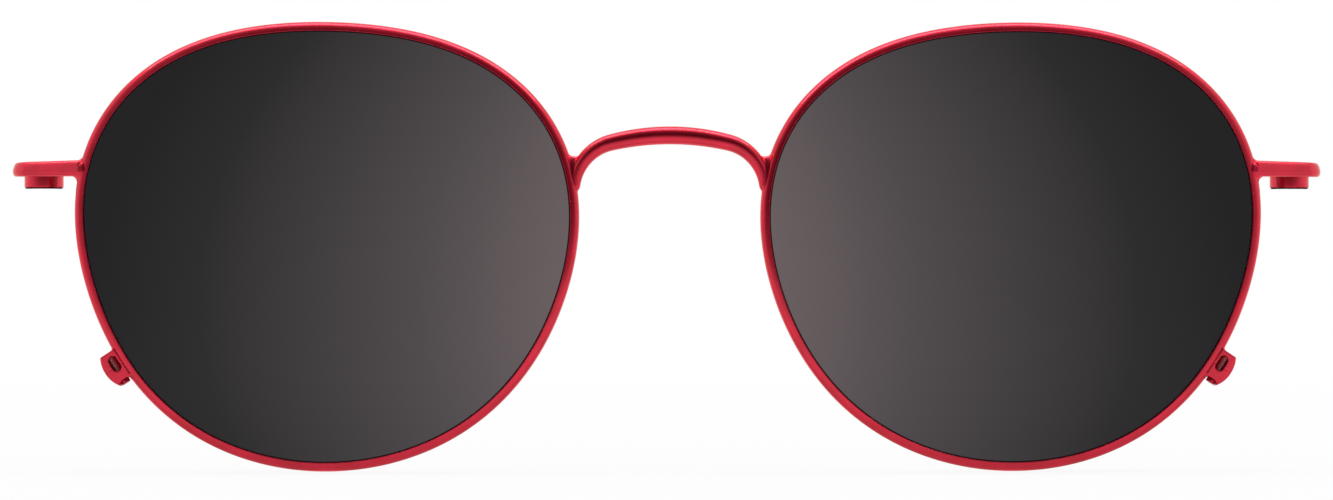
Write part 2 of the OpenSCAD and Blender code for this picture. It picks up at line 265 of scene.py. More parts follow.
@dataclass(frozen=True)
class SmokeLens:
    """Dyed and polished acrylic sun lens, cast, dip-tinted and coated against reflections.

    The lens is dyed dark all over, and a reflection is painted into its colour: it is paler and
    a little warmer towards the nose, and darker towards the temples, the brow and, less so, the
    cheek. Both faces are polished, and their coating leaves a small, bluish part of the reflection
    that bare acrylic has.
    """

    name: str = "smoke_tinted_acrylic"
    # Dark dye with a painted reflection: the ramp runs from the pale, warm nose to the dark temple.
    dye_and_painted_reflection: tuple[tuple[float, str], ...] = (
        (0.0, "695f60"), (0.3, "504b4d"), (0.565, "3f3c3d"), (0.78, "2e2d2d"), (1.0, "242425"),
    )
    temple_mm: float = 57.0
    nose_mm: float = 11.0
    palest_mm: float = -5.0
    brow_gain: float = 0.016
    roughness: float = 0.02
    ior: float = 1.49
    coating: str = "53505c"

    def material(self) -> Material:
        """Builds the lens, dyed dark, with a painted reflection graded outward from the nose.

        Returns:
            The material.
        """
        made, tree, where = new_material(self.name)
        across = add_node(tree, "ShaderNodeSeparateXYZ", {"Vector": where})
        away = add_node(tree, "ShaderNodeMath", {0: across.outputs["X"]}, operation="ABSOLUTE")
        height = add_node(tree, "ShaderNodeMath", {
            0: across.outputs["Z"], 1: self.palest_mm * MM,
        }, operation="SUBTRACT")
        square = add_node(tree, "ShaderNodeMath", {
            0: height.outputs["Value"], 1: height.outputs["Value"],
        }, operation="MULTIPLY")
        further = add_node(tree, "ShaderNodeMath", {
            0: square.outputs["Value"], 1: self.brow_gain / MM, 2: away.outputs["Value"],
        }, operation="MULTIPLY_ADD")
        # Painted reflection: the lens grows paler towards the nose and darker towards the temples, the brow and
        # the cheek.
        share = add_node(tree, "ShaderNodeMapRange", {
            "Value": further.outputs["Value"],
            "From Min": self.nose_mm * MM, "From Max": self.temple_mm * MM,
        })
        dye_and_reflection_ramp = add_node(tree, "ShaderNodeValToRGB", {"Fac": share.outputs["Result"]})
        fill_ramp(dye_and_reflection_ramp, [(position, linear(colour)) for position, colour in self.dye_and_painted_reflection])
        shader = add_node(tree, "ShaderNodeBsdfPrincipled", {
            "Base Color": dye_and_reflection_ramp.outputs["Color"], "Roughness": self.roughness, "IOR": self.ior,
            "Specular Tint": linear(self.coating), "Transmission Weight": 1.0,
        })
        add_node(tree, "ShaderNodeOutputMaterial", {"Surface": shader.outputs["BSDF"]})
        return made


@dataclass(frozen=True)
class GroundEdge:
    """Edge of a lens as the edging wheel leaves it: satin, with the violet cast of the dyed lens."""

    name: str = "ground_lens_edge"
    colour: str = "4b4654"
    roughness: float = 0.42
    grit_mm: float = 0.08
    grit_height_mm: float = 0.01
    grit_strength: float = 0.3

    def material(self) -> Material:
        """Builds the ground edge.

        Returns:
            The material.
        """
        made, tree, where = new_material(self.name)
        grit = add_node(tree, "ShaderNodeTexNoise", {
            "Vector": where, "Scale": per_metre(self.grit_mm), "Detail": 3.0,
        })
        bump = add_node(tree, "ShaderNodeBump", {
            "Height": grit.outputs["Fac"], "Strength": self.grit_strength,
            "Distance": self.grit_height_mm * MM,
        })
        shader = add_node(tree, "ShaderNodeBsdfPrincipled", {
            "Base Color": linear(self.colour), "Roughness": self.roughness,
            "Normal": bump.outputs["Normal"],
        })
        add_node(tree, "ShaderNodeOutputMaterial", {"Surface": shader.outputs["BSDF"]})
        return made


@dataclass(frozen=True)
class TurnedMetal:
    """Small metal part, plated or plain, with the fine marks of its last tool."""

    name: str
    pale: str
    dark: str
    roughness: float
    mark_mm: float
    mark_range: tuple[float, float] = (0.3, 0.6)
    mark_spread: tuple[float, float] = (1.4, 0.7)
    mark_height_mm: float = 0.01
    mark_strength: float = 0.15

    def material(self) -> Material:
        """Builds the metal.

        Returns:
            The material.
        """
        made, tree, where = new_material(self.name)
        marks = add_node(tree, "ShaderNodeTexNoise", {
            "Vector": where, "Scale": per_metre(self.mark_mm), "Detail": 4.0, "Roughness": 0.6,
        })
        colour = add_node(tree, "ShaderNodeValToRGB", {"Fac": marks.outputs["Fac"]})
        fill_ramp(colour, list(zip(self.mark_range, (linear(self.dark), linear(self.pale)))))
        rougher, smoother = self.mark_spread
        gloss = add_node(tree, "ShaderNodeMapRange", {
            "Value": marks.outputs["Fac"],
            "To Min": self.roughness * rougher, "To Max": self.roughness * smoother,
        })
        bump = add_node(tree, "ShaderNodeBump", {
            "Height": marks.outputs["Fac"], "Strength": self.mark_strength,
            "Distance": self.mark_height_mm * MM,
        })
        shader = add_node(tree, "ShaderNodeBsdfPrincipled", {
            "Base Color": colour.outputs["Color"], "Metallic": 1.0,
            "Roughness": gloss.outputs["Result"], "Normal": bump.outputs["Normal"],
        })
        add_node(tree, "ShaderNodeOutputMaterial", {"Surface": shader.outputs["BSDF"]})
        return made


def take_mesh(shape: BMesh, name: str) -> Mesh:
    """Turns a shape to a mesh.

    Args:
        shape: the shape, which is freed.
        name: name of the mesh.

    Returns:
        The mesh.
    """
    mesh = bpy.data.meshes.new(name)
    shape.to_mesh(mesh)
    shape.free()
    return mesh


def add_object(name: str, data: ID) -> Object:
    """Adds an object to the scene.

    Args:
        name: name of the object.
        data: its mesh, lamp or camera.

    Returns:
        The object.
    """
    made = bpy.data.objects.new(name, data)
    bpy.context.scene.collection.objects.link(made)
    return made


def axes(x: Sequence[float], y: Sequence[float], z: Sequence[float], at: Vector) -> Matrix:
    """Matrix that carries the origin's axes to others.

    Args:
        x: where the X axis goes.
        y: where the Y axis goes.
        z: where the Z axis goes.
        at: where the origin goes.

    Returns:
        The matrix.
    """
    made = Matrix.Identity(4)
    for i, column in enumerate((x, y, z, at)):
        made.col[i][:3] = column
    return made


def chain(shape: BMesh, points: Iterable[Sequence[float]]) -> list[BMEdge]:
    """Draws an open chain of edges.

    Args:
        shape: mesh that the chain goes into.
        points: corners of the chain.

    Returns:
        The chain's edges.
    """
    verts = [shape.verts.new(point) for point in points]
    return [shape.edges.new(pair) for pair in zip(verts, verts[1:])]


def sweep(shape: BMesh, places: Sequence[Matrix]) -> None:
    """Draws a ring along a row of places, and caps both ends.

    Args:
        shape: mesh that holds the ring alone, drawn in the XY plane about the origin.
        places: where the ring's own axes go at each station, the first one included.
    """
    ring = list(shape.edges)
    bmesh.ops.transform(shape, matrix=places[0], verts=shape.verts)
    bmesh.ops.contextual_create(shape, geom=ring)
    for before, after in zip(places, places[1:]):
        made = bmesh.ops.extrude_edge_only(shape, edges=ring)["geom"]
        verts = {item for item in made if isinstance(item, BMVert)}
        edges = [item for item in made if isinstance(item, BMEdge)]
        ring = [edge for edge in edges if verts.issuperset(edge.verts)]
        bmesh.ops.transform(shape, matrix=after @ before.inverted(), verts=list(verts))
    bmesh.ops.contextual_create(shape, geom=ring)
    bmesh.ops.recalc_face_normals(shape, faces=shape.faces)


def revolve(shape: BMesh, axis: tuple[int, int, int], steps: int) -> None:
    """Spins a half section that starts and ends on the axis, to a closed shape.

    Args:
        shape: mesh that holds the half section alone.
        axis: direction of the axis, which runs through the origin.
        steps: number of steps round it.
    """
    bmesh.ops.spin(
        shape, geom=[*shape.verts, *shape.edges], cent=(0, 0, 0), axis=axis, dvec=(0, 0, 0),
        angle=math.tau, steps=steps, use_merge=True, use_normal_flip=False, use_duplicate=False,
    )
    bmesh.ops.remove_doubles(shape, verts=shape.verts, dist=WELD)
    bmesh.ops.recalc_face_normals(shape, faces=shape.faces)


def saw_off(shape: BMesh, at: Vector, normal: Vector) -> list[BMEdge]:
    """Takes away what lies in front of a plane, and leaves the cut open.

    Args:
        shape: the shape.
        at: point of the plane.
        normal: direction that the plane faces.

    Returns:
        The rim of the cut.
    """
    sawn = bmesh.ops.bisect_plane(
        shape, geom=[*shape.verts, *shape.edges, *shape.faces], dist=ON_PLANE, plane_co=at,
        plane_no=normal, clear_outer=True, clear_inner=False,
    )
    return [item for item in sawn["geom_cut"] if isinstance(item, BMEdge)]


def with_modifiers(shape: BMesh, steps: Iterable[tuple[str, dict[str, object]]]) -> BMesh:
    """Runs a shape through modifiers and takes their result.

    Args:
        shape: the shape, which is freed.
        steps: type and settings of each modifier, in order.

    Returns:
        The modified shape.
    """
    mesh = take_mesh(shape, "work")
    work = add_object("work", mesh)
    for kind, settings in steps:
        modifier = work.modifiers.new(kind, kind)
        for name, value in settings.items():
            setattr(modifier, name, value)
    evaluated = work.evaluated_get(bpy.context.evaluated_depsgraph_get())
    result = bmesh.new()
    result.from_mesh(evaluated.to_mesh())
    evaluated.to_mesh_clear()
    bpy.data.objects.remove(work)
    bpy.data.meshes.remove(mesh)
    return result


def join(shapes: Iterable[BMesh]) -> BMesh:
    """Puts shapes together into one, as they are.

    Args:
        shapes: the shapes, which are freed.

    Returns:
        The one shape.
    """
    together = bmesh.new()
    for shape in shapes:
        part = take_mesh(shape, "part")
        together.from_mesh(part)
        bpy.data.meshes.remove(part)
    return together


def fuse(
    shapes: Iterable[BMesh], voxel: float, rounds: int, fillet: float, sunk: float = 0.0
) -> BMesh:
    """Fuses closed shapes that overlap into one skin, and softens its edges and creases.

    Args:
        shapes: the shapes, which are freed.
        voxel: size of the new skin's cells.
        rounds: how often the skin is smoothed.
        fillet: radius to which inner corners are filled, by growing the skin and drawing it in.
        sunk: how much further than it grew the skin is drawn in.

    Returns:
        The fused shape.
    """
    skin = [
        ("REMESH", {"mode": "VOXEL", "voxel_size": voxel}),
        ("SMOOTH", {"factor": 0.5, "iterations": rounds}),
    ]
    steps = list(skin)
    for move in (fillet, -fillet - sunk):
        steps += [("DISPLACE", {"mid_level": 0.0, "strength": move}), *skin]
    return with_modifiers(join(shapes), steps)


def cut(shape: BMesh, cutter: BMesh) -> BMesh:
    """Cuts one closed shape out of another.

    Args:
        shape: the shape that is cut, which is freed.
        cutter: the shape that is taken away, which is freed.

    Returns:
        What is left.
    """
    mesh = take_mesh(cutter, "tool")
    tool = add_object("tool", mesh)
    saw = {"operation": "DIFFERENCE", "solver": "EXACT", "object": tool}
    left = with_modifiers(shape, [("BOOLEAN", saw)])
    bpy.data.objects.remove(tool)
    bpy.data.meshes.remove(mesh)
    return left


@dataclass(frozen=True)
class Piece:
    """Where a finished piece belongs: its name, side, body and nodes. Its material slot is not used."""

    name: str
    side: Side
    nodes: tuple[str, ...] = ()
    body: str = CLIP
    slot: Slot = Slot.FRAME
    sharp_deg: float = 40.0

    def finish(self, shape: BMesh, materials: Sequence[Material]) -> None:
        """Turns a shape drawn on the right, in millimetres, to the finished piece.

        The piece rides on its body and stands for its nodes.

        Args:
            shape: the shape, which is freed.
            materials: the piece's materials, by face index.
        """
        scale = Matrix.Diagonal((self.side.value * MM, MM, MM, 1.0))
        bmesh.ops.transform(shape, matrix=scale, verts=shape.verts)
        if self.side is Side.LEFT:
            bmesh.ops.reverse_faces(shape, faces=shape.faces)
        for face in shape.faces:
            face.smooth = True
        mesh = take_mesh(shape, self.name)
        mesh.set_sharp_from_angle(angle=math.radians(self.sharp_deg))
        for material in materials:
            mesh.materials.append(material)
        piece = add_object(self.name, mesh)
        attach(piece, self.body)
        if self.nodes:
            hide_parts(*self.nodes)
        log.info("%s: %d faces on %s", self.name, len(mesh.polygons), self.body)


@dataclass(frozen=True)
class Outline:
    """Outline of the right lens opening, and the curved front that lens and ring lie on.

    A station is an angle in degrees, from the temple side up over the brow.
    """

    block_angle: float = -32.0
    ring_width: float = 0.9
    bevel: float = 0.34
    # Heights of the waves by which the outline leaves a circle, as shares of its radius.
    brow: float = 0.04
    shoulder: float = 0.0315
    square: float = 0.0145
    tilt: float = 0.0035
    flat: float = 0.0035
    # How the front curves and turns back, and how the wire's own front falls back on it.
    base_radius: float = 132.0
    wrap_deg: float = 4.0
    roll_deg: float = 8.0
    roll_swing_deg: float = 7.0
    roll_from: float = 45.0
    # Half the distance, in degrees or millimetres, over which a slope is measured.
    probe: float = 0.5
    halvings: int = 40

    @cached_property
    def lens_box(self) -> tuple[Vector, Vector]:
        """Corners of the right lens in the frame, in millimetres."""
        low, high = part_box("right_lens")
        return low / MM, high / MM

    @cached_property
    def size(self) -> tuple[float, float]:
        """Width and height of the opening."""
        low, high = self.lens_box
        return high.x - low.x - 2 * self.bevel, high.z - low.z - 2 * self.bevel

    @cached_property
    def middle_x(self) -> float:
        """Distance of the opening's middle from the middle of the clip."""
        low, high = self.lens_box
        return (low.x + high.x) / 2

    def raw(self, t: float) -> tuple[float, float]:
        """Point of the outline before it is drawn to size.

        Args:
            t: station.

        Returns:
            The point, about one unit from the middle.
        """
        a = math.radians(t)
        r = 1 + self.brow * math.sin(a) + self.tilt * math.sin(2 * a)
        r += self.shoulder * math.sin(3 * a)
        r -= self.flat * math.cos(3 * a) + self.square * math.cos(4 * a)
        return r * math.cos(a), r * math.sin(a)

    @cached_property
    def raw_spans(self) -> tuple[tuple[float, float], tuple[float, float]]:
        """Least and greatest raw X, and least and greatest raw Z."""
        xs, zs = zip(*(self.raw(t) for t in range(360)))
        return (min(xs), max(xs)), (min(zs), max(zs))

    def opening(self, t: float, away: float = 0.0) -> Vector:
        """Point beside the opening's edge, seen from the front.

        Args:
            t: station.
            away: distance outward from the edge.

        Returns:
            The point, with a Y of 0.
        """
        point = []
        for value, (low, high), length in zip(self.raw(t), self.raw_spans, self.size):
            point.append((value - (low + high) / 2) * length / (high - low))
        edge = Vector((self.middle_x + point[0], 0, point[1]))
        return edge + away * self.outward(t) if away else edge

    def along(self, t: float) -> Vector:
        """Direction of the outline.

        Args:
            t: station.

        Returns:
            The direction in which stations grow.
        """
        return (self.opening(t + self.probe) - self.opening(t - self.probe)).normalized()

    def outward(self, t: float) -> Vector:
        """Direction away from the lens, seen from the front.

        Args:
            t: station.

        Returns:
            The direction, square to the outline.
        """
        along = self.along(t)
        return Vector((along.z, 0, -along.x))

    def sag(self, point: Vector) -> float:
        """How far the curved front falls back, from the lens's own middle.

        Args:
            point: point seen from the front.

        Returns:
            The distance along Y.
        """
        x = point.x - self.middle_x
        tilt = math.tan(math.radians(self.wrap_deg))
        return x * tilt + (x * x + point.z * point.z) / (2 * self.base_radius)

    @cached_property
    def front_y(self) -> float:
        """Y of the lens's own middle, told by the place of the closing screw's joint."""
        joint = next(j for j in frame["joints"] if j["name"] == "right_screw_turn")
        at_block = self.opening(self.block_angle, self.ring_width)
        return joint["pos_m"][1] / MM - self.sag(at_block)

    def on_front(self, point: Vector, behind: float = 0.0) -> Vector:
        """Carries a point onto the curved front.

        Args:
            point: point seen from the front.
            behind: distance behind the curved front.

        Returns:
            The carried point.
        """
        return Vector((point.x, self.front_y + self.sag(point) + behind, point.z))

    def roll(self, t: float) -> float:
        """Slope by which the wire's front falls back outward, most at the brow and the nose.

        Args:
            t: station.

        Returns:
            The slope.
        """
        swing = self.roll_swing_deg * math.sin(math.radians(t - self.roll_from))
        return math.tan(math.radians(self.roll_deg + swing))

    def place(self, t: float) -> Matrix:
        """Axes of the ring at a station: X outward along the front, Y back and Z along.

        Args:
            t: station.

        Returns:
            The matrix, with its origin on the opening's edge.
        """
        edge, outward, along = self.opening(t), self.outward(t), self.along(t)
        slope = (self.sag(edge + self.probe * outward) - self.sag(edge)) / self.probe
        rise = (self.sag(edge + self.probe * along) - self.sag(edge)) / self.probe
        return axes(
            (outward.x, slope + self.roll(t), outward.z), (0, 1, 0), (along.x, rise, along.z),
            self.on_front(edge),
        )

    def station(self, z: float, flank: Flank) -> float:
        """Finds the station at a height by halving.

        Args:
            z: height above the middle of the lens.
            flank: flank of the opening.

        Returns:
            The station.
        """
        low, high = flank.value
        for _ in range(self.halvings):
            middle = (low + high) / 2
            low, high = (middle, high) if self.opening(middle).z < z else (low, middle)
        return (low + high) / 2

    def turn(self, length: float) -> float:
        """Angle that a length along the ring takes at the closing block.

        Args:
            length: the length.

        Returns:
            The angle in degrees of station.
        """
        first, last = self.block_angle - self.probe, self.block_angle + self.probe
        return length * 2 * self.probe / (self.opening(last) - self.opening(first)).length


@dataclass(frozen=True)
class Eyewire:
    """Ring of grooved profile wire with a crowned front, cut open at its closing block."""

    outline: Outline
    depth: float = 1.7
    outer_radius: float = 0.5
    inner_radius: float = 0.1
    groove_depth: float = 0.38
    groove_width: float = 0.7
    split_gap: float = 0.1
    closed_gap: float = 0.004
    braze_wall: float = 0.12
    stations: int = 480
    corner_steps: int = 6

    @property
    def solid_width(self) -> float:
        """Width of the wall, from the opening's edge, that nothing brazed on reaches into."""
        return self.groove_depth + self.braze_wall

    def section(self, inset: float) -> BMesh:
        """Draws the wire's section, with its corners rounded by a bevel.

        Args:
            inset: how far the section is drawn in on every side.

        Returns:
            Mesh that holds the ring of the section's edges.
        """
        shape = bmesh.new()
        half, width = self.depth / 2 - inset, self.outline.ring_width - inset
        lip = self.groove_width / 2
        outline = [
            (width, -half), (width, half), (inset, half), (inset, lip),
            (self.groove_depth, 0), (inset, -lip), (inset, -half),
        ]
        verts = [shape.verts.new((x, y, 0)) for x, y in outline]
        shape.faces.new(verts)
        for corners, radius in (
            (verts[:2], self.outer_radius), ((verts[2], verts[6]), self.inner_radius),
        ):
            bmesh.ops.bevel(
                shape, geom=list(corners), offset=radius - inset, offset_type="OFFSET",
                segments=self.corner_steps, profile=0.5, affect="VERTICES", material=-1,
            )
        bmesh.ops.delete(shape, geom=list(shape.faces), context="FACES_ONLY")
        return shape

    def stretch(self, start: float, end: float, steps: int, inset: float = 0.0) -> BMesh:
        """Draws a stretch of the ring.

        Args:
            start: first station.
            end: last station.
            steps: number of steps between them.
            inset: how far the section is drawn in.

        Returns:
            The closed shape.
        """
        shape = self.section(inset)
        stations = [start + (end - start) * i / steps for i in range(steps + 1)]
        sweep(shape, [self.outline.place(t) for t in stations])
        return shape

    def build(self, side: Side, lacquer: Material) -> None:
        """Builds one ring.

        Args:
            side: side of the clip.
            lacquer: the ring's finish.
        """
        gap = self.outline.turn(self.closed_gap / 2)
        start, end = self.outline.block_angle + gap, self.outline.block_angle - gap + 360
        node = f"{side.label}_eyewire"
        wire = self.stretch(start, end, self.stations)
        Piece(f"{node}_wire", side, (node,), sharp_deg=50).finish(wire, [lacquer])


@dataclass(frozen=True)
class Lens:
    """Sun lens: a round blank, edged to the outline and bent to its base curve."""

    outline: Outline
    eyewire: Eyewire
    thickness: float = 1.1
    chamfer: float = 0.1
    fit: float = 0.04
    steps: int = 288
    face_cuts: int = 11

    def blank(self) -> tuple[BMesh, float]:
        """Spins the round blank about the Y axis.

        Returns:
            The blank, and the radius that comes to lie on the opening's edge.
        """
        radius = self.outline.size[0] / 2
        edge, half, lip = radius - self.fit, self.thickness / 2, self.eyewire.groove_width / 2
        face = edge - self.chamfer
        shape = bmesh.new()
        edges = chain(shape, [
            (0, -half, 0), (face, -half, 0), (edge, self.chamfer - half, 0), (edge, -lip, 0),
            (edge + self.outline.bevel, 0, 0),
            (edge, lip, 0), (edge, half - self.chamfer, 0), (face, half, 0), (0, half, 0),
        ])
        flats = [edges[0], edges[-1]]
        bmesh.ops.subdivide_edges(shape, edges=flats, cuts=self.face_cuts)
        revolve(shape, (0, 1, 0), self.steps)
        for part in shape.faces:
            middle = part.calc_center_median()
            part.material_index = int(math.hypot(middle.x, middle.z) > face)
        return shape, radius

    def build(self, side: Side, materials: Sequence[Material]) -> None:
        """Builds one lens.

        Args:
            side: side of the clip.
            materials: finish of the faces, and of the ground edge.
        """
        shape, radius = self.blank()
        middle = Vector((self.outline.middle_x, 0, 0))
        for vert in shape.verts:
            t = math.degrees(math.atan2(vert.co.z, vert.co.x))
            share = math.hypot(vert.co.x, vert.co.z) / radius
            point = middle + (self.outline.opening(t) - middle) * share
            vert.co = self.outline.on_front(point, vert.co.y)
        node = f"{side.label}_lens"
        piece = Piece(f"{node}_tinted", side, (node,), slot=Slot.LENS, sharp_deg=30)
        piece.finish(shape, materials)


@dataclass(frozen=True)
class Bridge:
    """Round wire bent to an arch with a tighter bend at each end, thinner at its feet."""

    outline: Outline
    eyewire: Eyewire
    diameter: float = 1.8
    foot_diameter: float = 1.22
    foot_z: float = 6.0
    rise: float = 4.95
    bend_radius: float = 4.8
    foot_slope: float = 85.0
    bow: float = 1.0
    seat: float = 0.25
    tip_length: float = 1.0
    tip_steps: int = 8
    sides: int = 48
    steps: int = 200

    @cached_property
    def foot(self) -> Vector:
        """Middle of the right foot, seen from the front."""
        at = self.outline.station(self.foot_z, Flank.NOSE)
        return self.outline.opening(at, self.outline.ring_width - self.seat)

    @cached_property
    def arch(self) -> tuple[float, float, float]:
        """Slope where the bend starts, the arch's radius, and X where the bend's circle stands."""
        slope = math.radians(self.foot_slope)
        run = self.foot.x - self.bend_radius * math.sin(slope)
        drop = self.rise - self.bend_radius * (1 - math.cos(slope))
        start = 2 * math.atan2(drop, run)
        return start, run / math.sin(start) + self.bend_radius, run

    def middle(self, slope: float) -> Vector:
        """Point of the wire's axis.

        Args:
            slope: slope of the wire there in radians, negative on the left.

        Returns:
            The point.
        """
        start, radius, run = self.arch
        size, sign = abs(slope), math.copysign(1, slope)
        crest = self.foot.z + self.rise
        if size <= start:
            x, z = radius * math.sin(size), crest - radius * (1 - math.cos(size))
        else:
            x = run + self.bend_radius * math.sin(size)
            z = crest - radius + (radius - self.bend_radius) * math.cos(start)
            z += self.bend_radius * math.cos(size)
        bow = self.bow * (1 - (x / self.foot.x) ** 2)
        return Vector((sign * x, self.outline.on_front(self.foot).y - bow, z))

    def radius_at(self, slope: float) -> float:
        """Radius of the wire.

        Args:
            slope: slope of the wire there in radians.

        Returns:
            The radius, which shrinks from the crest to the feet.
        """
        start, radius, _ = self.arch
        bend = self.bend_radius * max(abs(slope) - start, 0)
        whole = radius * start + self.bend_radius * (math.radians(self.foot_slope) - start)
        share = (radius * min(abs(slope), start) + bend) / whole
        return (self.diameter + (self.foot_diameter - self.diameter) * share ** 2) / 2

    def place(self, slope: float, past: float = 0.0) -> Matrix:
        """Axes of the wire's unit section.

        Args:
            slope: slope of the wire there in radians.
            past: length past a foot, where the wire runs out straight to nothing.

        Returns:
            The matrix, with its origin on the wire's axis.
        """
        shrunk = (1 - math.cos(math.pi * min(abs(past) / self.tip_length, 1))) / 2
        radius = self.radius_at(slope) + shrunk * (self.seat - self.radius_at(slope))
        along = Vector((math.cos(slope), 0, -math.sin(slope)))
        return axes(
            Vector((math.sin(slope), 0, math.cos(slope))) * radius, Vector((0, radius, 0)),
            along, self.middle(slope) + past * along,
        )

    def wire(self, start: float, steps: int) -> BMesh:
        """Draws the wire to its right foot, filed flat where a ring's wall is in its way.

        Args:
            start: slope at the first end in degrees. At the left foot's slope the wire is whole.
            steps: number of steps between the ends.

        Returns:
            The closed shape.
        """
        shape = bmesh.new()
        bmesh.ops.create_circle(shape, segments=self.sides, radius=1.0)
        end = self.foot_slope
        slopes = [math.radians(start + (end - start) * i / steps) for i in range(steps + 1)]
        tip = [self.tip_length * (i + 1) / self.tip_steps for i in range(self.tip_steps)]
        first = [self.place(slopes[0], -past) for past in reversed(tip)] if start == -end else []
        last = [self.place(slopes[-1], past) for past in tip]
        sweep(shape, [*first, *(self.place(slope) for slope in slopes), *last])
        for vert in shape.verts:
            sign = math.copysign(1, vert.co.x)
            seen = Vector((sign * vert.co.x, 0, vert.co.z))
            t = self.outline.station(seen.z, Flank.NOSE)
            outward = self.outline.outward(t)
            away = (seen - self.outline.opening(t)).dot(outward)
            short = self.eyewire.solid_width - away
            if short > 0:
                vert.co += short * Vector((sign * outward.x, 0, outward.z))
        return shape

    def build(self, lacquer: Material) -> None:
        """Builds the bridge.

        Args:
            lacquer: its finish.
        """
        wire = self.wire(-self.foot_slope, self.steps)
        Piece("bridge_wire", Side.RIGHT, ("bridge",), sharp_deg=60).finish(wire, [lacquer])


@dataclass(frozen=True)
class Arm:
    """Flat arm that leaves the ring at the temple and ends in a round paddle."""

    outline: Outline
    eyewire: Eyewire
    root_width: float = 1.7
    corner_radius: float = 0.5
    belly: float = 0.55
    crown: float = 0.45
    undercrown: float = 0.3
    layers: int = 10
    dome: float = 0.2
    # Faces of a slab that meet at less than this angle are taken as one.
    flat_deg: float = 0.3
    corner_sides: int = 48
    paddle_sides: int = 128

    @cached_property
    def box(self) -> tuple[Vector, Vector]:
        """Corners of the right arm in the frame, in millimetres."""
        low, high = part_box("right_arm")
        return low / MM, high / MM

    @cached_property
    def paddle(self) -> tuple[Vector, float]:
        """Middle of the paddle, and its radius. The magnet's face lies under it."""
        low, high = self.box
        face = next(m for m in frame["record"]["mounts"] if m["name"] == "right_magnet_face")
        middle = Vector((face["pos_m"][0] / MM, face["pos_m"][1] / MM, (low.z + high.z) / 2))
        return middle, high.x - middle.x

    @property
    def spread(self) -> Vector:
        """Step from the middle of the arm's end at the ring to the middle of its rear corner."""
        return Vector((0, self.root_width / 2 - self.corner_radius, 0))

    def root(self, away: float | None = None) -> Vector:
        """Middle of the arm's end at the ring.

        Args:
            away: distance of that middle outward from the opening's edge. By default its
                corners start inside the ring's outer wall.

        Returns:
            The point, at the height of the arm.
        """
        z = self.paddle[0].z
        inside = self.eyewire.solid_width + self.corner_radius
        at = self.outline.opening(
            self.outline.station(z, Flank.TEMPLE), inside if away is None else away,
        )
        on_front = self.outline.on_front(at)
        return Vector((on_front.x, on_front.y, z))

    def slab(self, discs: Sequence[tuple[Vector, float, int]]) -> BMesh:
        """Draws the hull of a few round discs, with a crowned edge that is fullest low down.

        Args:
            discs: middle, radius and number of sides of each disc.

        Returns:
            The closed shape.
        """
        low, high = self.box
        full = low.z + self.belly
        shape = bmesh.new()
        for i in range(-self.layers, self.layers + 1):
            up, angle = i > 0, math.radians(90 * abs(i) / self.layers)
            height, depth = (high.z - full, self.crown) if up else (self.belly, self.undercrown)
            z = full + math.copysign(height * math.sin(angle), i)
            inset = depth * (1 - math.cos(angle))
            for middle, radius, sides in discs:
                place = Matrix.Translation((middle.x, middle.y, z))
                bmesh.ops.create_circle(shape, segments=sides, radius=radius - inset, matrix=place)
        bmesh.ops.delete(shape, geom=[*shape.edges, *shape.faces], context="EDGES_FACES")
        hull = bmesh.ops.convex_hull(shape, input=shape.verts, use_existing_faces=False)
        spare = {v for v in hull["geom_interior"] + hull["geom_unused"] if isinstance(v, BMVert)}
        bmesh.ops.delete(shape, geom=list(spare), context="VERTS")
        bmesh.ops.dissolve_limit(
            shape, angle_limit=math.radians(self.flat_deg), verts=shape.verts, edges=shape.edges,
        )
        bmesh.ops.recalc_face_normals(shape, faces=shape.faces)
        return shape

    def build(self, side: Side, lacquer: Material) -> None:
        """Builds one arm.

        Args:
            side: side of the clip.
            lacquer: its finish.
        """
        middle, radius = self.paddle
        root = self.root()
        shape = self.slab([
            (middle, radius, self.paddle_sides),
            (root + self.spread, self.corner_radius, self.corner_sides),
            (root - self.spread, self.corner_radius, self.corner_sides),
        ])
        for vert in shape.verts:
            share = (vert.co.x - root.x) / (middle.x + radius - root.x)
            if vert.co.z > middle.z:
                vert.co.z -= self.dome * max(share, 0) ** 2
        node = f"{side.label}_arm"
        Piece(f"{node}_strip", side, (node,), sharp_deg=50).finish(shape, [lacquer])


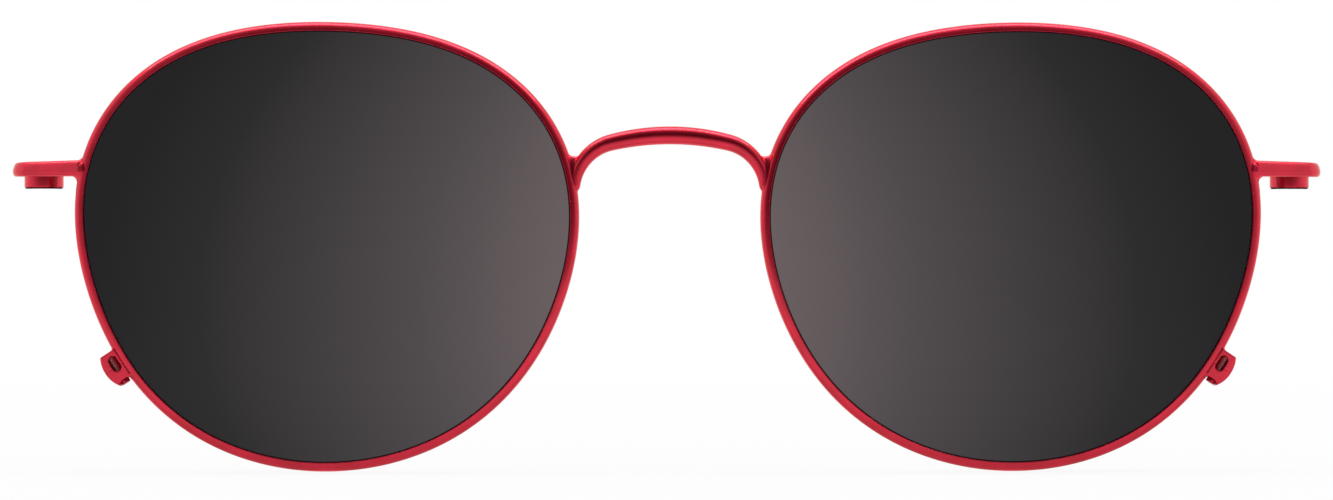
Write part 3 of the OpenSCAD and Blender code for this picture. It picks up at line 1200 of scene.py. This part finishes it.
@dataclass(frozen=True)
class MagnetSeat:
    """Turned cup under a paddle, and the disc magnet glued into it."""

    arm: Arm
    wall: float = 0.36
    floor: float = 0.3
    outer_lip: float = 0.28
    inner_lip: float = 0.05
    magnet_fit: float = 0.03
    magnet_edge: float = 0.06
    rim_steps: int = 6
    # How close a corner is to a rim that it belongs to.
    near: float = 0.01
    sides: int = 128

    @cached_property
    def box(self) -> tuple[Vector, Vector]:
        """Corners of the right cup in the frame, in millimetres."""
        low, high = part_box("right_magnet_cup")
        return low / MM, high / MM

    def turned(self, points: Sequence[tuple[float, float]]) -> BMesh:
        """Spins a half section about the cup's own axis.

        Args:
            points: radius and height of each corner, from the axis round to the axis again.

        Returns:
            The closed shape.
        """
        low, high = self.box
        shape = bmesh.new()
        chain(shape, [(radius, 0, z) for radius, z in points])
        revolve(shape, (0, 0, 1), self.sides)
        middle = (low + high) / 2
        bmesh.ops.translate(shape, vec=(middle.x, middle.y, 0), verts=shape.verts)
        return shape

    def round_rim(self, shape: BMesh, rim: float, radius: float) -> None:
        """Rounds the lower sharp rim of a turned shape that has a given radius.

        Args:
            shape: the turned shape.
            rim: radius of the rim.
            radius: radius of the rounding.
        """
        low, high = self.box
        middle, half = (low + high) / 2, (low.z + high.z - self.floor) / 2
        rims = []
        for edge in shape.edges:
            one, other = (vert.co for vert in edge.verts)
            away = math.hypot(one.x - middle.x, one.y - middle.y)
            level = abs(one.z - other.z) < self.near and one.z < half
            if level and abs(away - rim) < self.near:
                rims.append(edge)
        bmesh.ops.bevel(
            shape, geom=rims, offset=radius, offset_type="OFFSET", segments=self.rim_steps,
            profile=0.5, affect="EDGES", material=-1,
        )

    def build(self, side: Side, lacquer: Material, nickel: Material) -> None:
        """Builds one cup and its magnet.

        Args:
            side: side of the clip.
            lacquer: finish of the cup.
            nickel: finish of the magnet.
        """
        low, high = self.box
        outer, top = (high.x - low.x) / 2, high.z
        bore, seat = outer - self.wall, top - self.floor
        disc = bore - self.magnet_fit
        cup = self.turned([
            (0, top), (outer, top), (outer, low.z), (bore, low.z), (bore, seat), (0, seat),
        ])
        self.round_rim(cup, outer, self.outer_lip)
        self.round_rim(cup, bore, self.inner_lip)
        magnet = self.turned([(0, seat), (disc, seat), (disc, low.z), (0, low.z)])
        self.round_rim(magnet, disc, self.magnet_edge)
        for label, shape, slot, finish in (
            ("magnet_cup", cup, Slot.FRAME, lacquer), ("magnet", magnet, Slot.MAGNET, nickel),
        ):
            node = f"{side.label}_{label}"
            Piece(f"{node}_turned", side, (node,), slot=slot).finish(shape, [finish])


@dataclass(frozen=True)
class Braze:
    """Smooth fillets of braze in the corners where the bridge and the arms meet the rings.

    Each is a fused copy of the parts that meet there, with its inner corners filled. It is drawn
    in under their own skins, and so it shows only in the corner that it fills.
    """

    eyewire: Eyewire
    bridge: Bridge
    arm: Arm
    voxel: float = 0.045
    rounds: int = 4
    # At the bridge: how far the stretch of ring reaches, and the slope where the wire starts.
    bridge_fillet: float = 0.58
    bridge_below: float = 1.6
    bridge_above: float = 6.4
    bridge_steps: int = 40
    leg_slope: float = 25.0
    # At an arm: the stretch of ring, the arm's stub, and the tongue that its face laps over.
    arm_fillet: float = 0.6
    arm_reach: float = 2.6
    arm_steps: int = 30
    sunk: float = 0.02
    root_sides: int = 32
    stub_share: float = 0.2
    lap_reach: float = 0.04
    tongue: float = 0.34
    tongue_away: float = 0.4
    tongue_proud: float = 0.05

    def at_bridge(self, side: Side, lacquer: Material) -> None:
        """Fills the corners between a ring and the bridge's foot.

        Args:
            side: side of the clip.
            lacquer: its finish.
        """
        above, below = (
            self.eyewire.outline.station(self.bridge.foot_z + up, Flank.NOSE)
            for up in (self.bridge_above, -self.bridge_below)
        )
        ring = self.eyewire.stretch(above, below, self.bridge_steps)
        leg = self.bridge.wire(self.leg_slope, self.bridge_steps)
        shape = fuse([ring, leg], self.voxel, self.rounds, self.bridge_fillet, self.sunk)
        Piece(f"{side.label}_bridge_braze", side, sharp_deg=180).finish(shape, [lacquer])

    def at_arm(self, side: Side, lacquer: Material) -> None:
        """Fills the corners between a ring and an arm, and laps the arm's face over the ring.

        Args:
            side: side of the clip.
            lacquer: its finish.
        """
        arm = self.arm
        middle, radius = arm.paddle
        below, above = (
            self.eyewire.outline.station(middle.z + up, Flank.TEMPLE)
            for up in (-self.arm_reach, self.arm_reach)
        )
        ring = self.eyewire.stretch(below, above, self.arm_steps)
        root = arm.root()
        corners = (root + arm.spread, root - arm.spread)
        grown = arm.corner_radius + self.stub_share * (radius - arm.corner_radius)
        stub = arm.slab([
            *((corner, arm.corner_radius, self.root_sides) for corner in corners),
            *((corner.lerp(middle, self.stub_share), grown, arm.corner_sides)
              for corner in corners),
        ])
        front = Vector((0, -arm.spread.y - self.tongue_proud, 0))
        lap = arm.slab([
            (at + front, arm.corner_radius, self.root_sides)
            for at in (arm.root(arm.corner_radius + self.lap_reach), root)
        ])
        back = Vector((0, -self.eyewire.groove_width / 2 - self.tongue, 0))
        rim = saw_off(lap, arm.root(self.tongue_away) + back, Vector((0, 1, 0)))
        bmesh.ops.contextual_create(lap, geom=rim)
        shape = fuse([ring, stub, lap], self.voxel, self.rounds, self.arm_fillet, self.sunk)
        Piece(f"{side.label}_arm_braze", side, sharp_deg=180).finish(shape, [lacquer])


@dataclass(frozen=True)
class ClosingBlock:
    """Closing block, cast in one with soft edges, brazed to the ring and then sawn through.

    The saw's cut is drawn narrower than the gap between the frame's two solids, because the
    screw has drawn the halves together. Its front lies in one sweep with the ring's.
    """

    eyewire: Eyewire
    reach: float = 2.6
    stub_steps: int = 32
    voxel: float = 0.035
    rounds: int = 6
    fillet: float = 0.28
    ring_inset: float = 0.015
    lap: float = 0.02
    kerf: float = 0.004
    # Half the depth of the frame's own block.
    half_depth: float = 1.0

    def solid(self, label: str, at: Vector, along: Vector) -> BMesh:
        """Takes one of the frame's two solids, with its sawn face moved over the cut.

        Args:
            label: "upper" or "lower".
            at: point of the cut.
            along: direction of the ring there, which is square to the cut.

        Returns:
            The solid, which now overlaps the other one.
        """
        shape = bmesh.new()
        shape.from_mesh(frame["nodes"][f"right_block_{label}"].data)
        bmesh.ops.scale(shape, vec=(1 / MM,) * 3, verts=shape.verts)
        bmesh.ops.remove_doubles(shape, verts=shape.verts, dist=WELD)
        sign = 1 if label == "upper" else -1
        outline = self.eyewire.outline
        outward = outline.outward(outline.block_angle)
        wall = outline.opening(outline.block_angle, outline.ring_width)
        for vert in shape.verts:
            beside = vert.co - (vert.co - wall).dot(outward) * outward
            share = (outline.on_front(beside).y - vert.co.y) / self.half_depth
            fall = outline.sag(vert.co) - outline.sag(beside)
            fall += self.half_depth - self.eyewire.depth / 2
            vert.co.y += min(max(share, 0), 1) * fall
            away = (vert.co - at).dot(along)
            if abs(away) < self.eyewire.split_gap:
                vert.co -= (away + sign * self.lap) * along
        return shape

    def half(self, whole: BMesh, label: str, at: Vector, along: Vector) -> BMesh:
        """Saws one half off a copy of the whole block.

        Args:
            whole: the whole block, which stays as it is.
            label: "upper" or "lower".
            at: point of the cut.
            along: direction of the ring there.

        Returns:
            The half.
        """
        shape = whole.copy()
        normal = -along if label == "upper" else along
        rim = saw_off(shape, at - normal * self.kerf / 2, normal)
        bmesh.ops.triangle_fill(
            shape, edges=rim, normal=normal, use_beauty=True, use_dissolve=False,
        )
        bmesh.ops.recalc_face_normals(shape, faces=shape.faces)
        return shape

    def build(self, side: Side, lacquer: Material) -> None:
        """Builds both halves of one block.

        Args:
            side: side of the clip.
            lacquer: their finish.
        """
        outline = self.eyewire.outline
        angle = outline.block_angle
        at, along = outline.on_front(outline.opening(angle)), outline.along(angle)
        halves = ("upper", "lower")
        turn = outline.turn(self.reach)
        stub = self.eyewire.stretch(
            angle - turn, angle + turn, self.stub_steps, self.ring_inset,
        )
        solids = [self.solid(label, at, along) for label in halves]
        whole = fuse([*solids, stub], self.voxel, self.rounds, self.fillet)
        for label in halves:
            node = f"{side.label}_block_{label}"
            piece = Piece(f"{node}_cast", side, (node,), sharp_deg=60)
            piece.finish(self.half(whole, label, at, along), [lacquer])
        whole.free()


@dataclass(frozen=True)
class RimScrew:
    """Slotted screw with a fine thread, which draws the two halves of a block together."""

    outline: Outline
    diameter: float = 0.8
    pitch: float = 0.2
    thread_depth: float = 0.06
    thread_share: float = 0.42
    thread_sunk: float = 0.02
    thread_start: float = 0.02
    turn_steps: int = 32
    tip: float = -1.4
    tip_chamfer: float = 0.06
    seat: float = 1.5
    neck: tuple[float, float] = (0.03, 0.05)
    head_diameter: float = 1.0
    head_height: float = 0.4
    head_chamfer: float = 0.04
    bare_below: float = 0.01
    # How far each corner of the head's rounded rim lies in from its side, and down from its top.
    head_rim: tuple[tuple[float, float], ...] = ((0.0, 0.08), (0.03, 0.03), (0.1, 0.0))
    slot_width: float = 0.2
    slot_depth: float = 0.16
    sides: int = 48

    def place(self) -> Matrix:
        """Axes of the right screw: Z out of its head along the joint's axis.

        Returns:
            The matrix, with its origin level with the cut in the block.
        """
        joint = next(j for j in frame["joints"] if j["name"] == "right_screw_turn")
        axis = Vector(joint["axis"]).normalized()
        across = self.outline.outward(self.outline.block_angle)
        across = (across - across.dot(axis) * axis).normalized()
        return axes(across, axis.cross(across), axis, Vector(joint["pos_m"]) / MM)

    def thread(self, shape: BMesh) -> None:
        """Winds the thread's ridge up the shank.

        Args:
            shape: mesh that the ridge goes into.
        """
        core = self.diameter / 2 - self.thread_depth
        half = self.pitch * self.thread_share
        first = self.tip + half + self.thread_start
        turns = int((self.seat - first - half) / self.pitch)
        verts = [
            shape.verts.new(point) for point in (
                (core - self.thread_sunk, 0, first - half), (self.diameter / 2, 0, first),
                (core - self.thread_sunk, 0, first + half),
            )
        ]
        face = shape.faces.new(verts)
        steps = self.turn_steps
        bmesh.ops.spin(
            shape, geom=[face], cent=(0, 0, 0), axis=(0, 0, 1),
            dvec=(0, 0, self.pitch / steps), angle=math.tau * turns, steps=steps * turns,
            use_merge=False, use_normal_flip=False, use_duplicate=False,
        )
        bmesh.ops.recalc_face_normals(shape, faces=shape.faces)

    def build(self, side: Side, materials: Sequence[Material]) -> None:
        """Builds one screw, which turns with its joint.

        Args:
            side: side of the clip.
            materials: finish of the head, and of the bare shank, whose pink is a painted reflection of the red
                lacquer.
        """
        shape = bmesh.new()
        core = self.diameter / 2 - self.thread_depth
        top, head = self.seat + self.head_height, self.head_diameter / 2
        bevel, (flare, neck) = self.tip_chamfer, self.neck
        chain(shape, [
            (0, 0, self.tip), (core - bevel, 0, self.tip), (core, 0, self.tip + bevel),
            (core, 0, self.seat - neck), (core + flare, 0, self.seat),
            (head - self.head_chamfer, 0, self.seat), (head, 0, self.seat + self.head_chamfer),
            *((head - inset, 0, top - drop) for inset, drop in self.head_rim), (0, 0, top),
        ])
        revolve(shape, (0, 0, 1), self.sides)
        tool = bmesh.new()
        bmesh.ops.create_cube(tool, size=1.0, matrix=(
            Matrix.Translation((0, 0, top - self.slot_depth + 0.5))
            @ Matrix.Diagonal((2 * self.head_diameter, self.slot_width, 1, 1))
        ))
        ridge = bmesh.new()
        self.thread(ridge)
        shape = join([cut(shape, tool), ridge])
        for face in shape.faces:
            face.material_index = int(face.calc_center_median().z < self.seat - self.bare_below)
        bmesh.ops.transform(shape, matrix=self.place(), verts=shape.verts)
        node = f"{side.label}_rim_screw"
        piece = Piece(
            f"{node}_steel", side, (node,), f"{side.label}_screw", Slot.SCREW, sharp_deg=32,
        )
        piece.finish(shape, materials)


@dataclass(frozen=True)
class Softbox:
    """Large plain lamp that points at the clip."""

    name: str
    at: tuple[float, float, float]
    size: tuple[float, float]
    brightness: float
    mirrored: bool = False

    def build(self) -> None:
        """Adds the lamp. Its power follows from how bright its face looks."""
        lamp = bpy.data.lights.new(self.name, "AREA")
        lamp.shape = "RECTANGLE"
        lamp.size, lamp.size_y = self.size
        lamp.energy = self.brightness * math.pi * self.size[0] * self.size[1]
        box = add_object(self.name, lamp)
        box.location = self.at
        box.rotation_euler = (-Vector(self.at)).to_track_quat("-Z", "Y").to_euler()
        box.visible_glossy = self.mirrored


@dataclass(frozen=True)
class Studio:
    """White table, soft lamps, and the dark gap in front that polished metal mirrors."""

    room_light: float = 0.35
    # The table top, in metres, and how brightly it shows from glow_from to glow_to.
    floor_colour: str = "f4f4f3"
    floor_half: float = 6.0
    glow_near: float = 0.9
    glow_from: float = 0.05
    glow_to: float = 0.4
    # Where the card stands and its foot ends, how high it is, and where it fades to the sides.
    gap_at: float = -0.15
    gap_foot: float = 0.0
    gap_top: float = 0.42
    gap_side: float = 1.5
    gap_core: float = 0.09
    gap_half: float = 0.36
    gap_lift: float = 0.0002
    # Its greys: under the clip, where the clip's shadow is painted onto the foot, in the foot's corner,
    # on the card, higher up by height, and at the sides. The foot is brightest at gap_bright, and
    # the card darkens over gap_fade.
    gap_painted_shadow: float = 0.6
    gap_pale: float = 0.35
    gap_dark: float = 0.05
    gap_edges: tuple[tuple[float, float], ...] = ((0.17, 0.14), (0.32, 0.6))
    gap_surround: float = 0.82
    gap_bright: float = -0.025
    gap_fade: float = 0.045

    def seen_white(self, tree: NodeTree) -> NodeSocket:
        """Tells rays that see the background from rays that light the clip.

        Args:
            tree: tree that the nodes go into.

        Returns:
            Output that is 1 for camera, glossy and transmission rays, and 0 for the rest.
        """
        path = add_node(tree, "ShaderNodeLightPath")
        seen = path.outputs["Is Camera Ray"]
        for kind in ("Is Glossy Ray", "Is Transmission Ray"):
            seen = add_node(
                tree, "ShaderNodeMath", {0: seen, 1: path.outputs[kind]}, operation="MAXIMUM",
            ).outputs["Value"]
        return seen

    def world(self) -> None:
        """Makes the world white where it is seen, and an even pale grey where it lights."""
        made = bpy.data.worlds.new("studio")
        made.use_nodes = True
        tree = made.node_tree
        tree.nodes.clear()
        strength = add_node(tree, "ShaderNodeMapRange", {
            "Value": self.seen_white(tree), "To Min": self.room_light, "To Max": 1.0,
        })
        light = add_node(tree, "ShaderNodeBackground", {
            "Color": WHITE, "Strength": strength.outputs["Result"],
        })
        add_node(tree, "ShaderNodeOutputWorld", {"Surface": light.outputs["Background"]})
        bpy.context.scene.world = made

    def lay(self, name: str, material: Material, shape: BMesh) -> Object:
        """Adds a stage piece.

        Args:
            name: name of the piece.
            material: its finish.
            shape: its mesh, which is freed.

        Returns:
            The stage piece.
        """
        mesh = take_mesh(shape, name)
        mesh.materials.append(material)
        made = add_object(name, mesh)
        made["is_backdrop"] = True
        return made

    def floor(self, height: float) -> None:
        """Lays the white table top, which glows where it is seen and keeps its shadows.

        Args:
            height: height of the table top in metres.
        """
        material, tree, where = new_material("white_table_top")
        paper = add_node(tree, "ShaderNodeBsdfDiffuse", {"Color": linear(self.floor_colour)})
        glow = add_node(tree, "ShaderNodeEmission", {"Color": WHITE, "Strength": 1.0})
        away = add_node(tree, "ShaderNodeVectorMath", {0: where}, operation="LENGTH")
        whiter = add_node(tree, "ShaderNodeMapRange", {
            "Value": away.outputs["Value"], "From Min": self.glow_from, "From Max": self.glow_to,
            "To Min": self.glow_near, "To Max": 1.0,
        })
        share = add_node(tree, "ShaderNodeMath", {
            0: self.seen_white(tree), 1: whiter.outputs["Result"],
        }, operation="MULTIPLY")
        mixed = add_node(tree, "ShaderNodeMixShader", {
            "Fac": share.outputs["Value"], 1: paper.outputs["BSDF"], 2: glow.outputs["Emission"],
        })
        add_node(tree, "ShaderNodeOutputMaterial", {"Surface": mixed.outputs["Shader"]})
        shape = bmesh.new()
        bmesh.ops.create_grid(
            shape, x_segments=1, y_segments=1, size=self.floor_half,
            matrix=Matrix.Translation((0, 0, height)),
        )
        self.lay("table_top", material, shape)

    def dim_gap(self, height: float) -> None:
        """Stands a dark card in front, which shows in polished metal alone.

        It is the gap between the lamps in which the camera stands, and it fades out to both
        sides. Its foot runs along the table towards the clip and grows paler, as a table top does
        away from such a gap, but right under the clip it carries the clip's painted shadow.

        Args:
            height: height of the table top in metres.
        """
        material, tree, where = new_material("dim_gap")
        split = add_node(tree, "ShaderNodeSeparateXYZ", {"Vector": where})
        away = add_node(tree, "ShaderNodeMath", {
            0: split.outputs["Z"], 1: split.outputs["Y"],
        }, operation="SUBTRACT")
        near, corner = height - self.gap_foot, height - self.gap_at
        top = self.gap_top - self.gap_at
        share = add_node(tree, "ShaderNodeMapRange", {
            "Value": away.outputs["Value"], "From Min": near, "From Max": top,
        })
        shade = add_node(tree, "ShaderNodeValToRGB", {"Fac": share.outputs["Result"]})
        stops = [
            # The first stop, under the clip, is the clip's painted shadow on the table.
            (near, self.gap_painted_shadow), (height - self.gap_bright, 1.0), (corner, self.gap_pale),
            (corner + self.gap_fade, self.gap_dark),
            *((z - self.gap_at, grey) for z, grey in self.gap_edges), (top, 1.0),
        ]
        fill_ramp(shade, [
            ((at - near) / (top - near), (grey, grey, grey, 1.0)) for at, grey in stops
        ])
        aside = add_node(tree, "ShaderNodeMath", {0: split.outputs["X"]}, operation="ABSOLUTE")
        faded = add_node(tree, "ShaderNodeMapRange", {
            "Value": aside.outputs["Value"], "From Min": self.gap_core, "From Max": self.gap_half,
            "To Min": shade.outputs["Color"], "To Max": self.gap_surround,
        })
        glow = add_node(tree, "ShaderNodeEmission", {
            "Color": WHITE, "Strength": faded.outputs["Result"],
        })
        add_node(tree, "ShaderNodeOutputMaterial", {"Surface": glow.outputs["Emission"]})
        shape = bmesh.new()
        foot = height + self.gap_lift
        strip = chain(shape, [
            (-self.gap_side, self.gap_foot, foot), (-self.gap_side, self.gap_at, foot),
            (-self.gap_side, self.gap_at, self.gap_top),
        ])
        made = bmesh.ops.extrude_edge_only(shape, edges=strip)["geom"]
        verts = [item for item in made if isinstance(item, BMVert)]
        bmesh.ops.translate(shape, vec=(2 * self.gap_side, 0, 0), verts=verts)
        card = self.lay("dim_gap", material, shape)
        card.visible_camera = card.visible_diffuse = False
        card.visible_transmission = card.visible_shadow = False

    def build(self, floor_height: float) -> None:
        """Builds the whole studio.

        Args:
            floor_height: height of the table top in metres.
        """
        self.world()
        self.floor(floor_height)
        self.dim_gap(floor_height)
        for lamp in (
            Softbox("softbox_above", (0.0, 0.03, 0.6), (1.2, 0.26), brightness=3.4, mirrored=True),
            Softbox("softbox_left", (-0.7, -0.3, 0.15), (0.4, 0.7), brightness=1.0),
            Softbox("softbox_right", (0.7, -0.3, 0.15), (0.4, 0.7), brightness=1.0),
        ):
            lamp.build()


@dataclass(frozen=True)
class PhotoCamera:
    """Camera that stands and looks as the photograph's did."""

    distance_mm: float = 525.0
    turn_deg: float = 1.1
    pixels_per_mm: float = 9.954
    middle_px: tuple[float, float] = (668.8, 246.7)
    sensor_mm: float = 36.0

    def build(self) -> None:
        """Adds the camera and makes it the scene's own."""
        data = bpy.data.cameras.new("photo_camera")
        data.sensor_fit = "HORIZONTAL"
        data.sensor_width = self.sensor_mm
        data.lens = self.pixels_per_mm * self.distance_mm / IMAGE_WIDTH * self.sensor_mm
        data.shift_x = (IMAGE_WIDTH / 2 - self.middle_px[0]) / IMAGE_WIDTH
        data.shift_y = (self.middle_px[1] - IMAGE_HEIGHT / 2) / IMAGE_WIDTH
        turn = math.radians(self.turn_deg)
        look = Vector((math.sin(turn), math.cos(turn), 0))
        camera = add_object("photo_camera", data)
        camera.location = -look * self.distance_mm * MM
        camera.rotation_euler = look.to_track_quat("-Z", "Y").to_euler()
        bpy.context.scene.camera = camera


def main() -> None:
    """Builds the studio and the clip, in order, and notes the clip's size."""
    logging.basicConfig(level=logging.INFO, format="%(name)s: %(message)s")
    cad_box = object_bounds()
    bpy.context.scene.view_settings.view_transform = "Standard"
    PhotoCamera().build()
    Studio().build(cad_box[0].z - TABLE_GAP * MM)

    lacquer = RedLacquer().material()
    lens_finish = [SmokeLens().material(), GroundEdge().material()]
    nickel, *screw_finish = (
        TurnedMetal(name, pale, dark, roughness, mark_mm).material()
        for name, pale, dark, roughness, mark_mm in (
            ("bright_nickel_plate", "c9c8c4", "a5a3a0", 0.22, 0.15),
            ("red_lacquered_screw_steel", "c8284a", "6e0f1e", 0.28, 0.1),
            # The bare shank's pink colours are a painted reflection of the red lacquer round it.
            ("bare_screw_steel", "dc98a2", "8c3440", 0.5, 0.1),
        )
    )

    outline = Outline()
    eyewire = Eyewire(outline)
    lens = Lens(outline, eyewire)
    bridge = Bridge(outline, eyewire)
    arm = Arm(outline, eyewire)
    seat = MagnetSeat(arm)
    braze = Braze(eyewire, bridge, arm)
    block = ClosingBlock(eyewire)
    screw = RimScrew(outline)
    bridge.build(lacquer)
    for side in Side:
        eyewire.build(side, lacquer)
        lens.build(side, lens_finish)
        arm.build(side, lacquer)
        seat.build(side, lacquer, nickel)
        block.build(side, lacquer)
        screw.build(side, screw_finish)
        braze.at_bridge(side, lacquer)
        braze.at_arm(side, lacquer)


if __name__ == "__main__":
    main()
